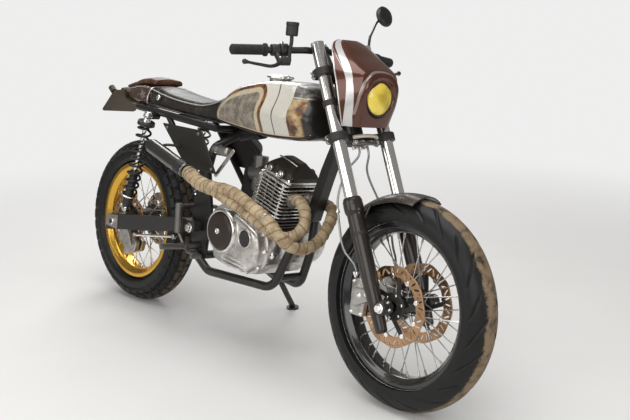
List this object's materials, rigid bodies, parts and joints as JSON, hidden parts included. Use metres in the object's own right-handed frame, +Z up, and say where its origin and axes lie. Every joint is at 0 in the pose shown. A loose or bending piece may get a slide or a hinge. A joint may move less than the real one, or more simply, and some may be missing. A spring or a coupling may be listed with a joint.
{
  "type": "cafe racer motorcycle",
  "caption": "Single-cylinder cafe racer motorcycle with a small fairing, wrapped exhaust and wire wheels, parked on its side stand.",
  "frame": {"origin": "middle of the bounding box on the ground", "axes": "+X forward, +Y to the rider's left, +Z up; the machine leans left on its side stand"},
  "size_m": [2.0986, 0.78, 1.1785],
  "materials": {
    "black_frame": "satin black",
    "cast_alloy": "cast, polished edges",
    "fin_alloy": "machined fins",
    "black_engine": "satin black",
    "dark_alloy": "dull",
    "pipe_wrap": "tan heat wrap",
    "muffler_steel": "dark with bright ends",
    "tank_paint": "worn patina with pale bands",
    "grey_leather": "soft, quilted",
    "hump_paint": "pale with brown pad",
    "panel_paint": "dark satin",
    "black_plastic": "matte",
    "arm_paint": "satin dark brown",
    "shock_metal": "satin",
    "spring_steel": "gloss black",
    "caliper_alloy": "cast",
    "chain_steel": "oiled",
    "black_clamp": "satin",
    "fork_chrome": "polished",
    "slider_paint": "satin dark",
    "bar_black": "gloss",
    "grip_rubber": "ribbed",
    "black_control": "satin",
    "mirror_black": "satin, glass face",
    "fairing_paint": "brown metallic with a pale stripe",
    "lamp_glass": "yellow lens",
    "fender_steel": "grey satin",
    "hose_black": "smooth",
    "tyre_rubber": "worn, dusty",
    "black_rim": "gloss black",
    "gold_rim": "gold anodised",
    "hub_black": "satin black",
    "disc_bronze": "bronze tinted",
    "disc_steel": "brushed",
    "sprocket_steel": "worn",
    "stand_black": "satin",
    "cap_chrome": "polished"
  },
  "bodies": {
    "chassis": {"main_frame": "black_frame", "rear_subframe": "black_frame", "engine_cases": "cast_alloy", "engine_covers": "cast_alloy", "cylinder": "fin_alloy", "head_cover": "black_engine", "carburettor": "dark_alloy", "exhaust_pipes": "pipe_wrap", "muffler": "muffler_steel", "fuel_tank": "tank_paint", "seat": "grey_leather", "seat_hump": "hump_paint", "side_panels": "panel_paint", "tail_plate": "black_plastic", "swingarm": "arm_paint", "shock_bodies": "shock_metal", "shock_springs": "spring_steel", "rear_caliper": "caliper_alloy", "foot_controls": "dark_alloy", "drive_chain": "chain_steel"},
    "steering": {"triple_clamps": "black_clamp", "fork_tubes": "fork_chrome", "fork_sliders": "slider_paint", "handlebar": "bar_black", "grips": "grip_rubber", "brake_control": "black_control", "clutch_control": "black_control", "mirror": "mirror_black", "fairing": "fairing_paint", "headlamp": "lamp_glass", "front_fender": "fender_steel", "front_calipers": "caliper_alloy", "front_brake_hoses": "hose_black"},
    "front_wheel": {"front_tyre": "tyre_rubber", "front_rim": "black_rim", "front_hub": "hub_black", "front_discs": "disc_bronze"},
    "rear_wheel": {"rear_tyre": "tyre_rubber", "rear_rim": "gold_rim", "rear_hub": "hub_black", "rear_disc": "disc_steel", "rear_sprocket": "sprocket_steel"},
    "side_stand": {"side_stand": "stand_black"},
    "filler_cap": {"filler_cap": "cap_chrome"}
  },
  "joints": [
    {"name": "steering_turn", "type": "hinge", "parent": "chassis", "child": "steering", "pos_m": [0.66776, -0.13253, 0.29937], "axis": [-0.4384, 0.1285, 0.8896], "range_deg": [-32, 32]},
    {"name": "front_wheel_spin", "type": "hinge", "parent": "steering", "child": "front_wheel", "pos_m": [0.72132, -0.12879, 0.32523], "axis": [0, 0.9897, -0.143], "continuous": true},
    {"name": "rear_wheel_spin", "type": "hinge", "parent": "chassis", "child": "rear_wheel", "pos_m": [-0.72867, -0.12964, 0.31935], "axis": [0, 0.9897, -0.143], "continuous": true},
    {"name": "side_stand_fold", "type": "hinge", "parent": "chassis", "child": "side_stand", "pos_m": [-0.22368, 0.01221, 0.23817], "axis": [0.0023, 0.7911, 0.6116], "range_deg": [0, 87.3]},
    {"name": "filler_cap_lid", "type": "hinge", "parent": "chassis", "child": "filler_cap", "pos_m": [0.08732, -0.03829, 0.95172], "axis": [0, 0.9897, -0.143], "range_deg": [0, 100]}
  ]
}
